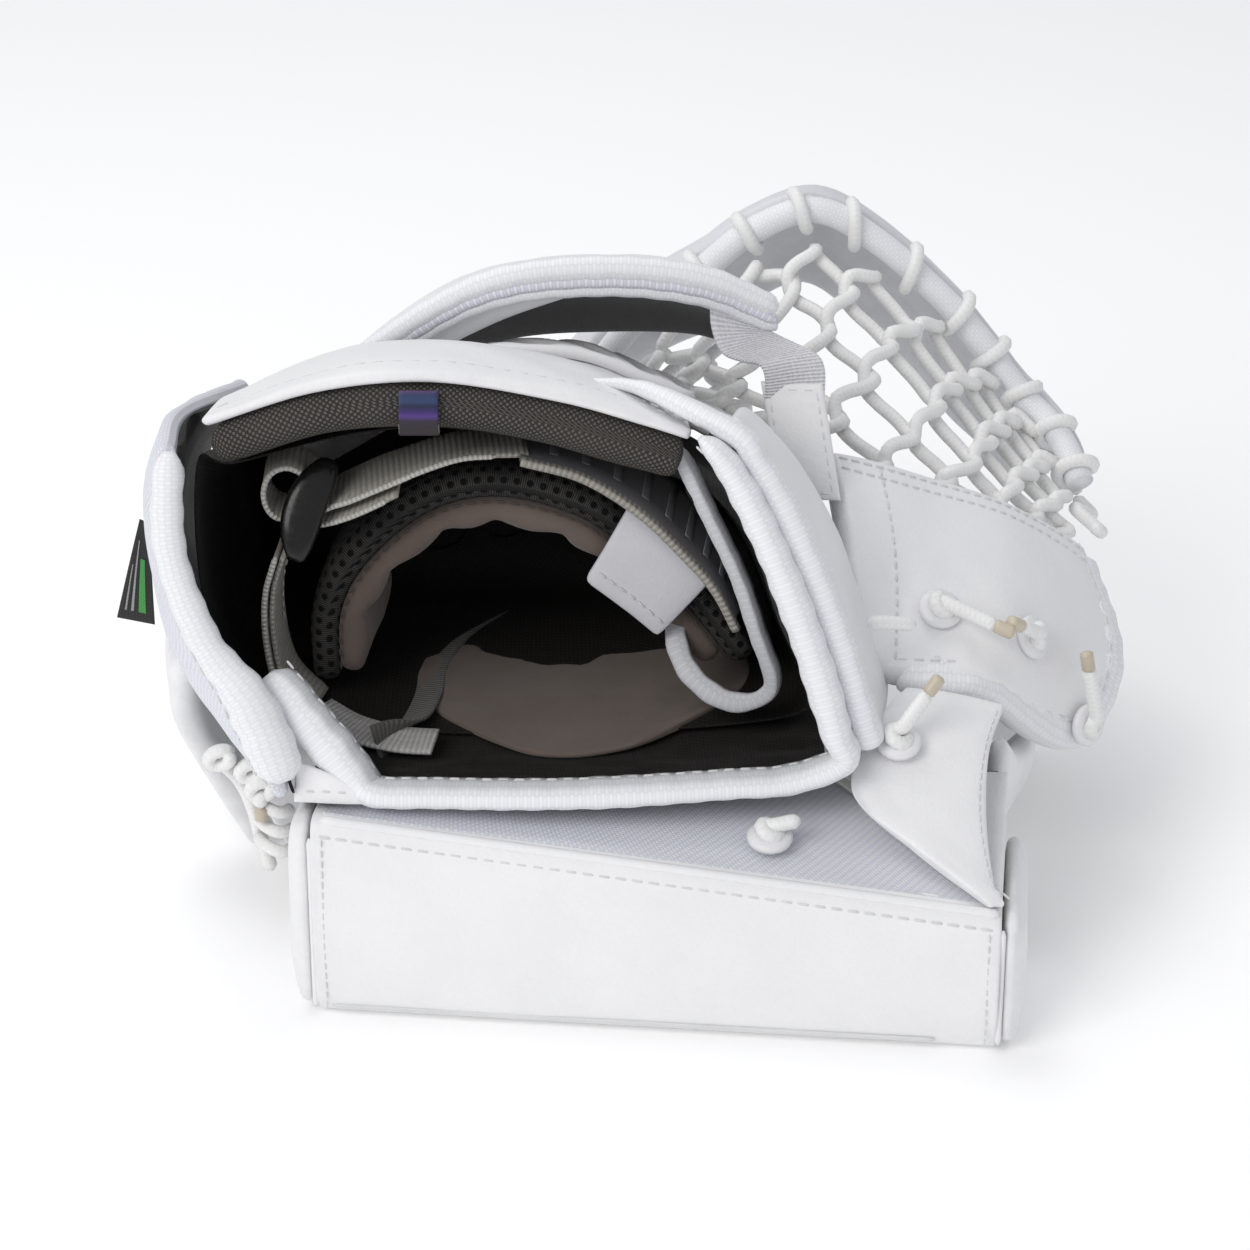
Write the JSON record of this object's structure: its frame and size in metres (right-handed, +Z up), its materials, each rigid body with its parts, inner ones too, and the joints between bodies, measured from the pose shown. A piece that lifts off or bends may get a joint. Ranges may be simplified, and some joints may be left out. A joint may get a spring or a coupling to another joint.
{
  "type": "goalie catch glove",
  "caption": "White ice hockey goalie catch glove for the left hand, lying catching face down, with its wrist opening, cuff, thumb and laced pocket.",
  "frame": {"origin": "on the floor under the middle of the glove", "axes": "+Z up, -Y towards the wrist opening, +X towards the thumb"},
  "size_m": [0.3216, 0.3212, 0.2037],
  "materials": {
    "white_leather": "satin",
    "white_nylon": "matte",
    "black_lining": "matte",
    "spacer_mesh": "matte",
    "suede": "matte",
    "foam": "matte",
    "stiff_plastic": "matte",
    "moulded_relief": "satin",
    "webbing": "matte",
    "rubber_patch": "satin",
    "black_plastic": "gloss",
    "elastic": "matte",
    "ribbon": "satin",
    "label_cloth": "matte",
    "lace": "matte"
  },
  "bodies": {
    "palm": {"cuff_cover": "white_leather", "cuff_gusset_left": "white_leather", "cuff_gusset_right": "white_leather", "heel_panel": "white_leather", "palm_leather": "white_leather", "finger_leather": "white_leather", "finger_side_pad": "white_leather", "finger_tip_pad": "white_leather", "hand_panel": "white_leather", "tab_strap": "white_leather", "thumb_base": "white_leather", "pocket_band": "white_leather", "cuff_top_panel": "white_nylon", "sleeve_shell_left": "white_nylon", "sleeve_wall_right": "white_nylon", "binding_left": "white_nylon", "opening_binding": "white_nylon", "wrist_liner_flap": "white_nylon", "band_roll": "white_nylon", "sleeve_floor": "black_lining", "sleeve_lining_left": "black_lining", "sleeve_lining_right": "black_lining", "finger_stalls": "black_lining", "palm_liner": "suede", "cuff_foam": "foam", "palm_foam": "foam", "cuff_board": "stiff_plastic", "finger_board": "stiff_plastic", "hand_guard": "moulded_relief", "strap_lower": "webbing", "elastic_band": "elastic", "cuff_washer_front": "lace", "cuff_washer_side": "lace", "thumb_lace_1": "lace", "side_lace": "lace", "web_lace": "lace", "pocket_net": "lace", "far_net": "lace"},
    "thumb": {"thumb_pad": "white_leather", "thumb_board": "stiff_plastic", "thumb_binding": "white_nylon", "thumb_face": "white_leather", "thumb_stall": "black_lining", "heel_gusset": "white_leather", "thumb_lace_2": "lace", "thumb_lace_3": "lace"},
    "back_pad": {"back_pad_leather": "white_leather", "back_pad_foam": "spacer_mesh", "wrist_flap": "white_leather", "wrist_flap_binding": "white_nylon", "ribbon_tag": "ribbon"},
    "backhand": {"backhand_pad": "white_leather", "backhand_binding": "white_nylon"},
    "hand_strap": {"hand_pad": "spacer_mesh", "hand_pad_liner": "suede", "hand_pad_tab": "white_leather", "strap_upper": "webbing", "strap_patch": "rubber_patch"},
    "slide": {"strap_slide": "black_plastic"},
    "label": {"side_label": "label_cloth"}
  },
  "joints": [
    {"name": "thumb_close", "type": "hinge", "parent": "palm", "child": "thumb", "pos_m": [0.1022, -0.0823, 0.078], "axis": [0.0786, 0.9135, 0.3993], "range_deg": [0, 12], "stiffness_Nm_per_rad": 3},
    {"name": "back_pad_lift", "type": "hinge", "parent": "palm", "child": "back_pad", "pos_m": [-0.0558, -0.0323, 0.16], "axis": [-1, 0, 0], "range_deg": [0, 15], "stiffness_Nm_per_rad": 2},
    {"name": "backhand_lift", "type": "hinge", "parent": "palm", "child": "backhand", "pos_m": [-0.0958, 0.0197, 0.14], "axis": [0, -1, 0], "range_deg": [0, 12], "stiffness_Nm_per_rad": 2},
    {"name": "hand_strap_tip", "type": "hinge", "parent": "palm", "child": "hand_strap", "pos_m": [-0.0318, -0.0103, 0.118], "axis": [1, 0, 0], "range_deg": [0, 4], "stiffness_Nm_per_rad": 2},
    {"name": "slide_travel", "type": "slide", "parent": "hand_strap", "child": "slide", "axis": [0.932, 0, 0.3624], "range_m": [-0.004, 0.006]},
    {"name": "label_flex", "type": "hinge", "parent": "palm", "child": "label", "pos_m": [-0.149, -0.0603, 0.112], "axis": [0, 0, 1], "range_deg": [-20, 20], "stiffness_Nm_per_rad": 0.002}
  ]
}
